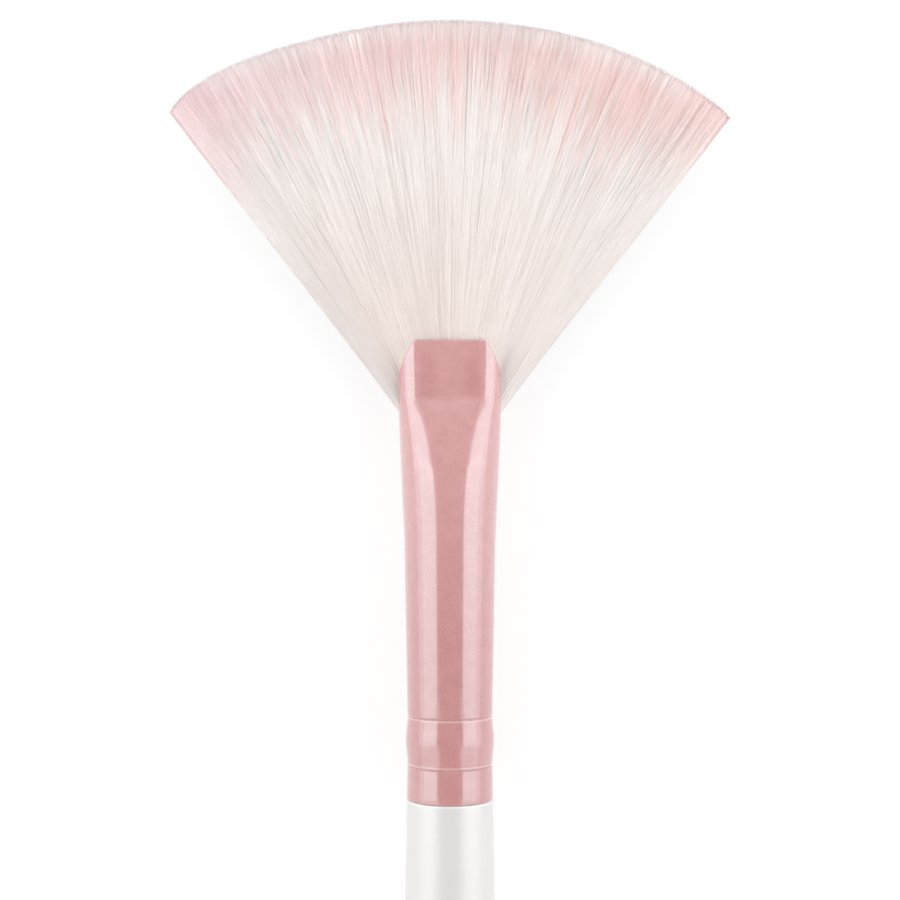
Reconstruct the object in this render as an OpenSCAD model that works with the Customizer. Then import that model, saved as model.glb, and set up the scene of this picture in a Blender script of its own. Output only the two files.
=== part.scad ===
// Fan makeup brush: a turned wooden handle, a crimped and flattened ferrule, and a fan of two-tone hair.
// The brush is drawn standing on its axis, with the ferrule's handle end at height 0, the hair up
// and the fan's width along X. lay_down() then lays it on the ground along +Y, as it comes to rest.

/* [Handle] */
// Length of the handle behind the ferrule
handle_len = 111; // [85:1:140]
// Largest diameter of the handle, at its belly
belly_d = 9; // [8.8:0.1:11]
// Distance from the ferrule back to the belly
belly_at = 22; // [14:1:40]
// Diameter of the tail just before its rounded end
tail_d = 5.8; // [4:0.1:7]
// Length of the rounded end
tail_round = 3.2; // [1.5:0.1:5]
// How far the handle's shoulder is set in from the ferrule's lip
shoulder_step = 0.05; // [0:0.01:0.2]
// Radius of the small rounding on the shoulder's edge
shoulder_round = 0.2; // [0.05:0.05:0.4]
// Bevel at the tenon's end
tenon_bevel = 0.6; // [0.2:0.1:1.2]

/* [Ferrule] */
// Length of the ferrule
ferrule_len = 46; // [42:0.2:60]
// Thickness of the metal
wall = 0.4; // [0.3:0.05:0.5]
// Diameter over the lip at the handle end
lip_d = 8.7; // [8.6:0.02:9]
// Radius of the rounding on the lip's edge
lip_round = 0.3; // [0.1:0.05:0.35]
// Diameter over the two necks, where the metal is crimped on the tenon
neck_d = 8.54; // [8:0.02:8.6]
// Diameter of the tube where the flattening begins
tube_d = 9.2; // [8.8:0.05:9.6]

/* [Crimp] */
// Distance from the lip to the middle of the bead
bead_at = 6.3; // [5.4:0.1:7.5]
// Length of the bead, from neck to neck
bead_len = 4.4; // [3:0.1:5]
// Diameter over the bead's crown
bead_d = 8.88; // [8.7:0.02:9.2]
// Width of the scored line at each neck
score_w = 0.26; // [0.1:0.02:0.4]
// Depth of the scored line
score_depth = 0.09; // [0.02:0.01:0.15]

/* [Flattened mouth] */
// Width across the flattened mouth
mouth_w = 10.6; // [9.8:0.1:12]
// Thickness across the flattened mouth
mouth_t = 4.8; // [4:0.1:5.4]
// Length of the part that is pressed flat
flat_len = 5.7; // [5:0.1:8]
// Length of the shoulder between the round tube and the flat part
press_len = 13.7; // [10:0.1:16]
// Width of the side slot at its floor, where the outermost hair leaves the metal
slot_floor_w = 1; // [0.8:0.05:1.2]
// Width of the side slot where its flare begins
slot_w = 1.6; // [1.3:0.05:2]
// Length over which the slot flares to the full thickness at the mouth
scallop_len = 3.4; // [2:0.1:4.5]

/* [Hair] */
// Length of hair in front of the mouth, at the middle of the fan
hair_reach = 32.2; // [24:0.1:42]
// Angle between the two straight edges of the fan
fan_angle = 74.6; // [64:0.2:84]
// Distance from the mouth back to the point where the fan's edges would meet
fan_focus = 14.2; // [12.5:0.1:16]
// Extra length of the hair towards the left edge
left_sweep = 1; // [0:0.1:1.5]
// Clearance between the outer hair and the sides of the slots
slot_gap = 0.25; // [0.15:0.01:0.4]
// Thickness of the fan at its tips, as a part of its thickness at the mouth
tip_share = 0.34; // [0.2:0.02:0.6]
// Number of locks of hair across the fan
locks = 44; // [24:2:50]
// Depth of the grooves between locks at the tips, as a part of the thickness
lock_relief = 0.3; // [0:0.02:0.5]
// How far the middle of a lock stands past its sides at the tips
lock_point = 0.3; // [0:0.05:0.6]
// How far the roots reach back from the mouth
root_depth = 24.5; // [22:0.5:27]

/* [Glue] */
// Gap that glue fills between the tenon and the necks
glue_gap = 0.12; // [0.06:0.01:0.2]
// Thickness of resin around the bundle of roots
resin_t = 0.7; // [0.4:0.05:1.2]
// Length of the plug of resin that holds the roots
resin_len = 6.6; // [4:0.1:6.8]
// How far the resin reaches back past the roots
resin_back = 2; // [1:0.1:3]
// Air between the tenon's end and the resin
air_gap = 1.5; // [1:0.1:3]

/* [Hidden] */
$fn = 64;

// Hairline between glued or seated faces
seat_gap = 0.01;
// Hairline between the hair and the metal that holds it flat
hair_gap = 0.06;

lip_r = lip_d / 2;
neck_r = neck_d / 2;
tube_r = tube_d / 2;
bead_rise = (bead_d - neck_d) / 2;
low_score = bead_at - bead_len / 2 - score_w;
high_score = bead_at + bead_len / 2 + score_w;
tenon_r = neck_r - wall - glue_gap;
shoulder_r = lip_r - shoulder_step;
belly_r = belly_d / 2;
tail_r = tail_d / 2;

// Heights on the ferrule's axis
flat_from = ferrule_len - flat_len;
press_from = flat_from - press_len;
apex = ferrule_len - fan_focus;
root_at = ferrule_len - root_depth;
resin_from = root_at - resin_back;
resin_top = resin_from + resin_len;
tenon_len = resin_from - air_gap;
// Exponents of the shoulder's two outlines: the sides spread early and the faces close late
spread_power = 1.4;
pinch_power = 2.6;

// Half angle of the fan, and where its outermost hair enters the metal's side
half_angle = fan_angle / 2;
edge_exit = apex + (mouth_w / 2 - wall) / tan(half_angle);

function mix(a, b, t) = a + (b - a) * t;
function clamp(t) = min(1, max(0, t));
function smooth(t) = let (c = clamp(t)) c * c * (3 - 2 * c);

// Radius of the handle at distance d behind the ferrule
taper_power = 1.6;
swell_power = 3;
function handle_r(d) =
    d < belly_at ? belly_r - (belly_r - shoulder_r) * pow(1 - d / belly_at, swell_power)
    : d < handle_len - tail_round ? mix(belly_r, tail_r,
        pow((d - belly_at) / (handle_len - tail_round - belly_at), taper_power))
    : tail_r * sqrt(max(0, 1 - pow((d - handle_len + tail_round) / tail_round, 2)));

// Half width and half thickness of the ferrule's outside, from the end of the round tube on
function spread(s) =
    mix(tube_r, mouth_w / 2, 1 - pow(1 - clamp((s - press_from) / (ferrule_len - press_from)), spread_power));
function pinch(s) = mix(spread(s), mouth_t / 2, pow(clamp((s - press_from) / press_len), pinch_power));

// Heights of the sections that the flattened end is drawn through
press_steps = 12;
flat_steps = 3;
press_heights = [for (i = [0:press_steps]) mix(press_from, flat_from, i / press_steps)];
flat_heights = [for (i = [1:flat_steps]) mix(flat_from, ferrule_len, i / flat_steps)];

// The brush rests on the thickest section of the ferrule's shoulder and on the handle's belly
foot_r = max([for (s = press_heights) pinch(s)]);
foot_at = [for (s = press_heights) if (pinch(s) == foot_r) s][0];
rest_tilt = atan2(foot_r - belly_r, foot_at + belly_at);
brush_middle = (ferrule_len + hair_reach - handle_len) / 2;

module lay_down() {
    translate([0, -brush_middle * cos(rest_tilt), foot_r * cos(rest_tilt) - foot_at * sin(rest_tilt)])
        rotate([rest_tilt - 90, 0, 0])
            children();
}

// Joins closed rings of points into one solid. A ring is its upper points from left to right and
// then its lower points from right to left, so each upper point has a lower one opposite it.
module skin(rings) {
    m = len(rings[0]);
    last = m * (len(rings) - 1);
    sides = [for (j = [0:len(rings) - 2], k = [0:m - 1])
        let (a = j * m + k, b = j * m + (k + 1) % m) each [[a, b, b + m], [a, b + m, a + m]]];
    ends = [for (k = [0:m / 2 - 2])
        let (a = k, b = k + 1, c = m - 2 - k, d = m - 1 - k)
        each [[a, c, b], [a, d, c], [last + a, last + b, last + c], [last + a, last + c, last + d]]];
    polyhedron([for (r = rings) each r], concat(sides, ends));
}

// Flattened section of the tube, the given depth in from its outside, at height s on the drawing.
// The pressed part laps into the round sleeve, with its many-sided end a hairline inside the metal.
section_steps = 24;
seam = 0.01;
lap = 0.3;
function tube_section(s, depth) =
    let (w = spread(s), t = pinch(s) - depth, step = 180 / section_steps)
    [for (i = [0:2 * section_steps - 1])
        let (a = 180 - (i + 0.5) * step)
        [(w - pinch(s)) * sign(cos(a)) + t * cos(a), t * sin(a), s]];

// Outline of the handle-end sleeve from its lip to the flattening, the given depth in
bead_steps = 12;
function bead_points(depth) = [for (i = [0:bead_steps])
    let (u = i / bead_steps)
    [neck_r - depth + bead_rise * (1 - cos(360 * u)) / 2, bead_at + bead_len * (u - 0.5)]];

lip_steps = 5;
function outer_sleeve() = concat(
    [for (i = [0:lip_steps])
        let (a = 90 * i / lip_steps)
        [lip_r - lip_round * (1 - sin(a)), lip_round * (1 - cos(a))]],
    [[neck_r, low_score], [neck_r - score_depth, low_score + score_w / 2]],
    bead_points(0),
    [[neck_r - score_depth, high_score - score_w / 2], [neck_r, high_score], [tube_r, press_from]]);

function inner_sleeve(depth) = concat(
    [[lip_r - depth, 0], [neck_r - depth, low_score]],
    bead_points(depth),
    [[neck_r - depth, high_score], [tube_r - depth, press_from]]);

// Radius inside the tube at height s, above the crimp
function bore_r(s) = mix(neck_r, tube_r, (s - high_score) / (press_from - high_score)) - wall;

function backwards(v) = [for (i = [len(v) - 1:-1:0]) v[i]];

// Side opening of the mouth: a slot with a round floor, which widens and then flares to the mouth
scallop_steps = 8;
flat_left = 0.05;
cut_over = 1;
floor_r = slot_floor_w / 2;
flare_from = ferrule_len - scallop_len;
widest = mouth_t / 2 - flat_left;
function slot_half(s) =
    s < edge_exit ? sqrt(max(0, floor_r * floor_r - pow(edge_exit - s, 2)))
    : s < flare_from ? mix(floor_r, slot_w / 2, (s - edge_exit) / (flare_from - edge_exit))
    : let (u = clamp((s - flare_from) / scallop_len)) mix(slot_w / 2, widest, (u + sin(90 * u)) / 2);

module side_slot() {
    heights = concat([edge_exit], [for (i = [0:scallop_steps]) flare_from + scallop_len * i / scallop_steps],
        [ferrule_len + cut_over]);
    right = [for (s = heights) [slot_half(s), s]];
    for (side = [-1, 1])
        translate([side * (mouth_w / 2 + cut_over) / 2, 0, 0])
            rotate([90, 0, 90])
                linear_extrude(mouth_w / 2 + cut_over, center = true) {
                    translate([0, edge_exit]) circle(floor_r);
                    polygon(concat(right, backwards([for (p = right) [-p[0], p[1]]])));
                }
}

module ferrule() {
    color("#d9a3a3") lay_down() {
        rotate_extrude() polygon(concat(outer_sleeve(), backwards(inner_sleeve(wall))));
        difference() {
            skin([for (s = concat([press_from - lap], press_heights, flat_heights)) tube_section(s, seam)]);
            skin([for (s = concat([press_from - lap - cut_over], press_heights, flat_heights,
                [ferrule_len + cut_over])) tube_section(s, wall - 2 * seam)]);
            side_slot();
        }
    }
}

handle_steps = 56;
round_steps = 10;
module handle() {
    body_end = handle_len - tail_round;
    body = [for (i = [1:handle_steps]) let (d = mix(shoulder_round, body_end, i / handle_steps)) [handle_r(d), -d]];
    tail = [for (i = [1:round_steps])
        let (d = body_end + tail_round * sin(90 * i / round_steps)) [handle_r(d), -d]];
    shoulder = [for (i = [0:lip_steps])
        let (a = 90 * i / lip_steps)
        [shoulder_r - shoulder_round * (1 - sin(a)), -seat_gap - shoulder_round * (1 - cos(a))]];
    color("white") lay_down() rotate_extrude()
        polygon(concat([[0, tenon_len], [tenon_r - tenon_bevel, tenon_len], [tenon_r, tenon_len - tenon_bevel],
            [tenon_r, -seat_gap]], shoulder, body, tail));
}

// Glue between the tenon and the sleeve
module tenon_glue() {
    film = tenon_r + seat_gap;
    outside = inner_sleeve(wall + seat_gap);
    top = tenon_len - tenon_bevel;
    below = [for (p = outside) if (p[1] < top) p];
    color("#e8dcb8") lay_down() rotate_extrude()
        polygon(concat([[film, 0]], below, [[bore_r(top) - seat_gap, top], [film, top]]));
}

// Resin that holds the roots in the tube, dished at the back where it met the air
dish_depth = 0.8;
dish_steps = 8;
module root_resin() {
    back_r = bore_r(resin_from) - seat_gap;
    dish = [for (i = [0:dish_steps])
        let (u = i / dish_steps) [back_r * u, resin_from + dish_depth * (1 - u * u)]];
    color("#d8c48f") lay_down() difference() {
        rotate_extrude() polygon(concat(dish, [[bore_r(resin_top) - seat_gap, resin_top], [0, resin_top]]));
        translate([0, 0, root_at - seat_gap]) cylinder(r = root_r + seat_gap, h = resin_len);
    }
}

// The hair. Across the fan it runs in columns, three to a lock: one in the groove and two on the lock.
// t is a column's place across the fan, from -1 at the left edge to 1 at the right one.
// Each lock has a random number of its own, which sets how wide, how thick and how long it is.
columns_a_lock = 3;
columns = locks * columns_a_lock;
lock_seed = 7;
lock_wave = rands(-1, 1, locks + 1, lock_seed);
wide_vary = 0.4;
thick_vary = 0.1;
long_vary = 0.06;
function lock_crest(i) = i % columns_a_lock == 0 ? 0 : 1;
function lock_of(i) = lock_wave[floor(i / columns_a_lock)];
function place(i) = 2 * (i + (i == 0 || i == columns ? 0 : wide_vary * lock_of(i))) / columns - 1;

// Heights between which the hair turns from the bundle to its own directions in the fan
bend_from = resin_top + 1;
turned_at = edge_exit - slot_w;

// Half thickness of the hair at the mouth: full between the flat walls, and thin where it passes the slots.
// It thins from the column that passes the flat wall's corner to the one that passes where the slots flare.
root_r = bore_r(resin_from) - resin_t;
mouth_half = mouth_t / 2 - wall - hair_gap;
edge_half = slot_w / 2 - slot_gap;
thin_from = atan((mouth_w - mouth_t) / 2 / fan_focus) / half_angle;
thin_to = atan(mouth_w / 2 / (fan_focus - scallop_len)) / half_angle;
function mouth_profile(t) = mix(mouth_half, edge_half, smooth((abs(t) - thin_from) / (thin_to - thin_from)));
edge_zone = 0.2;
edge_least = 0.07;
function edge_round(t) =
    let (u = clamp((abs(t) - 1 + edge_zone) / edge_zone)) max(edge_least, sqrt(1 - u * u));

// Length of a column from the apex to its tip
sweep_at = -0.84;
sweep_width = 0.42;
corner_loss = 0.5;
corner_power = 24;
function tip_length(i, t) =
    fan_focus + hair_reach
    + left_sweep * exp(-pow((t - sweep_at) / sweep_width, 2))
    - corner_loss * pow(abs(t), corner_power)
    + lock_point * (lock_crest(i) - 1) + long_vary * lock_of(i);

// Half of the room for hair at x across and height s: between the flat walls, in the round ends or in the slot
function room(x, s) =
    let (half = pinch(s) - wall - hair_gap, past = max(0, abs(x) - spread(s) + pinch(s)))
    s > ferrule_len ? mouth_half : max(sqrt(max(0, half * half - past * past)), slot_half(s) - slot_gap);

function both_faces(up) = concat(up, backwards([for (p = up) [p[0], -p[1], p[2]]]));

// Ring of the bundle at height s, from round in the resin to flat between the slots
function root_ring(s) =
    let (turn = smooth((s - bend_from) / (turned_at - bend_from)))
    both_faces([for (i = [0:columns])
        let (t = place(i),
            x = mix(root_r * sin(90 * t), (turned_at - apex) * tan(half_angle * t), turn),
            z = mix(max(root_r * cos(90 * t), edge_least), mouth_profile(t) * edge_round(t), turn))
        [x, min(z, room(x, s)), s]]);

// Ring of the fan, at v from 0 inside the mouth to 1 at the tips
thinning = 0.5;
tip_power = 5;
edge_share = 0.55;
middle_share = 0.75;
evened_at = 0.6;
function fan_ring(v) =
    both_faces([for (i = [0:columns])
        let (t = place(i), a = half_angle * t,
            rho = mix((turned_at - apex) / cos(a), tip_length(i, t), v),
            out = clamp((rho - fan_focus) / hair_reach),
            spread_out = mix(edge_half, mouth_half, mix(middle_share, edge_share, t * t)),
            even = mix(mouth_profile(t), spread_out, smooth(out / evened_at)),
            taper = 1 - thinning * out - (1 - thinning - tip_share) * pow(out, tip_power),
            groove = 1 + out * (thick_vary * lock_of(i) - lock_relief * (1 - lock_crest(i))),
            x = rho * sin(a),
            s = apex + rho * cos(a))
        [x, min(even * taper * groove * edge_round(t), room(x, s)), s]]);

turn_steps = 3;
slot_steps = 4;
fan_steps = 7;
fan_crowding = 1.4;
module hair_fan() {
    bundle = concat([root_at], [for (i = [0:turn_steps - 1]) mix(bend_from, turned_at, i / turn_steps)]);
    mouth_v = (ferrule_len - turned_at) / (ferrule_len + hair_reach - turned_at);
    inside = [for (i = [0:slot_steps - 1]) mouth_v * i / slot_steps];
    outside = [for (i = [0:fan_steps]) mix(1, mouth_v, pow(1 - i / fan_steps, fan_crowding))];
    color("#f6ece9") lay_down()
        skin(concat([for (s = bundle) root_ring(s)], [for (v = concat(inside, outside)) fan_ring(v)]));
}

handle();
ferrule();
hair_fan();
root_resin();
tenon_glue();
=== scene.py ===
# %% [markdown]
# # A fan makeup brush
#
# The real brush has a turned wooden handle under white pearl lacquer, a drawn metal ferrule that is
# round where it grips the handle and pressed flat at its mouth, and several thousand soft synthetic
# hairs, which the flat mouth spreads into a fan. The packed CAD model gives every size and place. It
# could be shown as it is with better finishes, but its hair is one solid and its metal has flat
# facets, so this scene builds finer pieces in the same places and keeps the CAD's as their frame.

# %% Load the packed brush
import math

import bpy
import numpy as np
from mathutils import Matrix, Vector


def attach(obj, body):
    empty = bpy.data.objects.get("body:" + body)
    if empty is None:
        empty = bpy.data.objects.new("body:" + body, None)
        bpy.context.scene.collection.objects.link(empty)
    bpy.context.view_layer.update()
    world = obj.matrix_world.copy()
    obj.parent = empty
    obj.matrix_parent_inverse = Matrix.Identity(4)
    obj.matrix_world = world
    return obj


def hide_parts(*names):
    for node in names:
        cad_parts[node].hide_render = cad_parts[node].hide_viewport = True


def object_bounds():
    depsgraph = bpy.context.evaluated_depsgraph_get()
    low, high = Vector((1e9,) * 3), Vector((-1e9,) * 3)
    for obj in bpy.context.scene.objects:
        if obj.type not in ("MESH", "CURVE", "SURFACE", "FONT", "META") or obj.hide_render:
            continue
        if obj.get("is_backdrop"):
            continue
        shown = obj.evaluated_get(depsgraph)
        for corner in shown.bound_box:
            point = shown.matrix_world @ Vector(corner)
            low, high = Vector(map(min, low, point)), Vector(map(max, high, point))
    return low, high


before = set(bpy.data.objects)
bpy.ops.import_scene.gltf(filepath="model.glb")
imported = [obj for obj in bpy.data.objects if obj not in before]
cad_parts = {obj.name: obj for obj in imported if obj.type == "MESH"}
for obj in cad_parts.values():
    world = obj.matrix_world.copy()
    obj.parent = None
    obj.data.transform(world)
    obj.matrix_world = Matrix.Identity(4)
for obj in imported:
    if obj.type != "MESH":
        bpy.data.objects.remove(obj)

cad_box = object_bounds()
print("CAD box in mm:", [[round(1000 * c, 2) for c in corner] for corner in cad_box])

# %% [markdown]
# ## Sizes
#
# A brush maker works from one drawing of heights along the axis, so the sizes stand here once, in
# millimetres, as they stand on the CAD drawing. Heights run from the ferrule's handle end towards the
# hair. Reading them off the packed meshes would also work, but a mesh has no names for its sizes. A few
# are trimmed by up to half a millimetre to what the photograph shows: the lip, the bead, and the fan
# near the mouth with the slots that follow it.

# %% Sizes of the brush in millimetres
MM = 0.001
handle_len, belly_d, belly_at, tail_d, tail_round = 111, 9, 22, 5.8, 3.2
shoulder_step, shoulder_round, tenon_bevel, seat_gap = 0.05, 0.15, 0.6, 0.01
ferrule_len, wall, glue_gap = 46, 0.4, 0.12
lip_at, lip_d, lip_round, neck_d, tube_d = 0.25, 8.7, 0.15, 8.54, 9.2
bead_at, bead_len, bead_d, score_w, score_depth = 6.15, 4.7, 8.88, 0.26, 0.09
mouth_w, mouth_t, flat_len, press_len = 10.6, 4.8, 5.7, 13.7
slot_floor_w, slot_w, scallop_len = 1, 1.6, 3.4
hair_reach, fan_angle, fan_focus, left_sweep, root_depth = 32.2, 74.6, 14.2, 1, 24.5
slot_gap, tip_share, hair_gap, squeeze, fan_turn = 0.25, 0.34, 0.06, 0.054, math.radians(0.19)
spread_power, pinch_power = 1.4, 2.6
resin_t, resin_len, resin_back, air_gap = 0.7, 6.6, 2, 1.5

lip_r, neck_r, tube_r, belly_r, tail_r = lip_d / 2, neck_d / 2, tube_d / 2, belly_d / 2, tail_d / 2
low_score = bead_at - bead_len / 2 - score_w
high_score = bead_at + bead_len / 2 + score_w
flat_from = ferrule_len - flat_len
press_from = flat_from - press_len
apex = ferrule_len - fan_focus
root_at = ferrule_len - root_depth
resin_from = root_at - resin_back
resin_top = resin_from + resin_len
half_angle = math.radians(fan_angle / 2)
edge_exit = apex + (mouth_w / 2 - wall) / math.tan(half_angle * (1 - squeeze))
flare_from = ferrule_len - scallop_len
print(f"slot floor at {edge_exit:.2f} mm, fan's apex at {apex:.2f} mm")

# %% [markdown]
# ## The ferrule's pressed shape and how the brush lies
#
# The press leaves the sides of the tube bulging early and closes its faces late. Two curves say this:
# the half width of the tube, and the radius of its rounded sides, which is also half its thickness.
# The brush then rests on the thickest place of that shoulder and on the belly of its handle.

# %% Curves of the pressed end, and the place of a point on the ground
def mix(a, b, share):
    return a + (b - a) * share


def clamp(value):
    return np.clip(value, 0, 1)


def smooth(value):
    c = clamp(value)
    return c * c * (3 - 2 * c)


def spread(s):
    """Half width of the flattened tube at height s."""
    rise = clamp((s - press_from) / (ferrule_len - press_from))
    return mix(tube_r, mouth_w / 2, 1 - (1 - rise) ** spread_power)


def pinch(s):
    """Radius of its rounded sides at height s."""
    return mix(spread(s), mouth_t / 2, clamp((s - press_from) / press_len) ** pinch_power)


press_heights = np.linspace(press_from, flat_from, 13)
foot_r = pinch(press_heights).max()
foot_at = press_heights[pinch(press_heights).argmax()]
tilt = math.atan2(foot_r - belly_r, foot_at + belly_at)
brush_middle = (ferrule_len + hair_reach - handle_len) / 2


def laid(x, up, s):
    """Where a point of the brush lies on the ground, in metres: x across, up off the axis, s along it."""
    x, up, s = np.broadcast_arrays(np.asarray(x, float), up, s)
    along = (s - brush_middle) * math.cos(tilt) - up * math.sin(tilt)
    height = (s - foot_at) * math.sin(tilt) + (up + foot_r) * math.cos(tilt)
    return MM * np.stack([x, along, height], axis=-1)


looked_at = 35.1
eye = laid(0, 0, looked_at)
print(f"tilt {math.degrees(tilt):.2f} degrees, axis {eye[2] / MM:.2f} mm above the ground")

# %% [markdown]
# ## Camera
#
# The photograph looks straight down on the fan from about 190 mm above the axis, over the middle of
# the picture. A camera's own forward direction is straight down, so it needs no turn.

# %% Camera over the fan
lens, view_height = 76, 190
camera = bpy.data.objects.new("camera", bpy.data.cameras.new("camera"))
camera.data.lens = lens
camera.data.clip_start = 0.005
camera.location = (0, eye[1], eye[2] + view_height * MM)
bpy.context.scene.collection.objects.link(camera)
bpy.context.scene.camera = camera
bpy.context.scene.view_settings.view_transform = "Standard"
print("camera at", [round(c, 4) for c in camera.location])

# %% [markdown]
# ## Shader sums in Python
#
# A finish is a net of nodes. Drawn by hand it soon gets hard to read, so here a wire from a node is a
# Python value: 1 - mask adds the Math node that works it out. Colours go through Mix nodes, because a
# Math node turns a colour grey. Every node comes from one method.

# %% A wire and its sums
class Wire:
    """An output of a node. Sums of wires and numbers add Math nodes."""

    def __init__(self, finish, socket):
        self.finish, self.socket = finish, socket

    def math(self, operation, first, second):
        return self.finish.node("ShaderNodeMath", {"operation": operation}, {0: first, 1: second})

    def __add__(self, other):
        return self.math("ADD", self, other)

    def __sub__(self, other):
        return self.math("SUBTRACT", self, other)

    def __rsub__(self, other):
        return self.math("SUBTRACT", other, self)

    def __mul__(self, other):
        return self.math("MULTIPLY", self, other)

    def __abs__(self):
        return self.finish.node("ShaderNodeMath", {"operation": "ABSOLUTE"}, {0: self})

    __radd__, __rmul__ = __add__, __mul__


print("a wire can be added, taken away, multiplied and made positive")

# %% A finish and its nodes
class Finish:
    """The nodes of a material or of the world."""

    def __init__(self, owner):
        self.owner = owner
        owner.use_nodes = True
        self.tree = owner.node_tree
        self.tree.nodes.clear()

    def node(self, kind, settings=None, inputs=None, out=0):
        """A node of a kind: first its settings, then the values or wires of its sockets."""
        made = self.tree.nodes.new(kind)
        for name, value in (settings or {}).items():
            setattr(made, name, value)
        for name, value in (inputs or {}).items():
            if isinstance(value, Wire):
                self.tree.links.new(value.socket, made.inputs[name])
            else:
                made.inputs[name].default_value = value
        return Wire(self, made.outputs[out]) if made.outputs else None

    def mixed(self, share, first, second):
        """A colour between two colours."""
        return self.node("ShaderNodeMix", {"data_type": "RGBA", "clamp_factor": True},
                         {0: share, 6: first, 7: second}, out=2)

    def step(self, value, low, high):
        """0 below low and 1 above high, with a smooth rise between them."""
        return self.node("ShaderNodeMapRange", {"interpolation_type": "SMOOTHSTEP"},
                         {0: value, 1: low, 2: high, 3: 0, 4: 1})

    def place(self):
        """The point on the piece, in metres."""
        return self.node("ShaderNodeTexCoord", out="Object")

    def noise(self, size_mm, detail=2, roughness=0.5):
        """Noise from 0 to 1 with spots of about that size."""
        return self.node("ShaderNodeTexNoise", {}, {
            "Vector": self.place(), "Scale": 1 / (size_mm * MM), "Detail": detail, "Roughness": roughness})

    def bump(self, height, depth_mm):
        """A normal that follows a height from 0 to 1, which stands for that many millimetres."""
        return self.node("ShaderNodeBump", {}, {"Strength": 1, "Distance": depth_mm * MM, "Height": height})

    def surface(self, inputs):
        """A Principled surface with these sockets, wired to the material's output."""
        shader = self.node("ShaderNodeBsdfPrincipled", {}, inputs)
        self.node("ShaderNodeOutputMaterial", {}, {"Surface": shader})
        return self.owner


print("a finish makes:", [name for name in vars(Finish) if not name.startswith("_")])

# %% New finishes and their colours
def new_finish(name):
    return Finish(bpy.data.materials.new(name))


def rgb(red, green, blue):
    """A colour from its values in a picture, 0 to 255, as the linear colour that sockets take."""
    def linear(value):
        v = value / 255
        return v / 12.92 if v <= 0.04045 else ((v + 0.055) / 1.055) ** 2.4
    return (linear(red), linear(green), linear(blue), 1)


print("mid grey in a picture is", [round(c, 3) for c in rgb(128, 128, 128)], "in a socket")

# %% [markdown]
# ## Studio
#
# The metal shows the studio. Its darker centre is a dim screen overhead, and the crisp bright bands
# beside it are two side lights that begin where the screen ends. A few strong lamps could light all
# the rest too, but fine hair then looks hard and dark between its strands. So a white dome all round
# gives most of the light, and the lamps only add to it. Each side light is a row of lamps along the
# brush, brightest where the pressed slope mirrors them. Dimmer lamps shine below them, for the metal's
# flanks, and towards the handle, for the lower half of the bead.

# %% Dome, screen overhead and side lights
studio = Finish(bpy.data.worlds.new("studio"))
bpy.context.scene.world = studio.owner
dome_light, screen_light, screen_rise = 1.18, 0.27, 0.13
screen_side, screen_flare, screen_end, horizon = (0.55, 0.66), 0.3, (0.62, 1), 0.2
across, along, up = (studio.node("ShaderNodeSeparateXYZ", {}, {
    0: studio.node("ShaderNodeTexCoord", out="Generated")}, out=axis) for axis in range(3))
beside = studio.step(abs(across) + screen_flare * abs(along), *screen_side)
beyond = studio.step(abs(along), *screen_end)
screen = (1 - beside) * (1 - beyond) * studio.step(up, 0, horizon)
all_round = dome_light + screen * (screen_light - dome_light + along * screen_rise)
backlight = studio.node("ShaderNodeBackground", {}, {"Color": (1, 1, 1, 1), "Strength": all_round})
studio.node("ShaderNodeOutputWorld", {}, {"Surface": backlight})


def side_light(name, side, inner_deg, outer_deg, from_y, to_y, radiance, away=0.6):
    """A long light beside the brush that shines on it between two angles from straight up."""
    middle, half = math.radians((inner_deg + outer_deg) / 2), math.radians((outer_deg - inner_deg) / 2)
    lamp = bpy.data.lights.new(name, "AREA")
    lamp.shape, lamp.size, lamp.size_y = "RECTANGLE", 2 * away * math.tan(half), to_y - from_y
    lamp.energy = math.pi * radiance * lamp.size * lamp.size_y
    made = bpy.data.objects.new(name, lamp)
    made.location = (side * away * math.sin(middle), (from_y + to_y) / 2, away * math.cos(middle) + eye[2])
    made.rotation_euler = (0, side * middle, 0)
    made.visible_camera = False
    bpy.context.scene.collection.objects.link(made)


dull_from, dull_to, low_far, far_end = -0.3, -0.085, 0.055, 0.38
screen_deg, far_deg, low_deg, ground_deg, dull_degs = 33.5, 38.5, 73, 88, (26, 80)
row_of_lamps = ((screen_deg, dull_to, -0.03, 1.85), (screen_deg, -0.03, 0.03, 1.95),
                (screen_deg, 0.03, 0.08, 2.1), (screen_deg, 0.08, 0.13, 2.6), (far_deg, 0.13, far_end, 1.9))
for side, word in ((-1, "left"), (1, "right")):
    side_light(f"dull_light_{word}", side, *dull_degs, dull_from, dull_to, 0.7)
    side_light(f"low_light_{word}", side, low_deg, ground_deg, dull_to, low_far, 0.95)
    side_light(f"low_far_light_{word}", side, low_deg, ground_deg, low_far, far_end, 1.6)
    for number, (inner_deg, from_y, to_y, radiance) in enumerate(row_of_lamps):
        side_light(f"bright_light_{word}_{number}", side, inner_deg, low_deg, from_y, to_y, radiance)

# %% [markdown]
# ## Floor
#
# The photograph's ground is plain white. The floor is a pale matt sheet that also glows for the
# camera, for reflections and for light through glass, so it is white there and still keeps the
# brush's shadow. More light would make it white too, but would bleach the brush.

# %% White floor
def mesh_piece(name, points, faces, finish, body="root"):
    """A smooth piece from points in metres and faces, which moves with a body of the CAD."""
    mesh = bpy.data.meshes.new(name)
    mesh.from_pydata([tuple(p) for p in points], [], [tuple(f) for f in faces])
    mesh.validate()
    mesh.shade_smooth()
    piece = bpy.data.objects.new(name, mesh)
    bpy.context.scene.collection.objects.link(piece)
    mesh.materials.append(finish)
    if body:
        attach(piece, body)
    return piece


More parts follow.
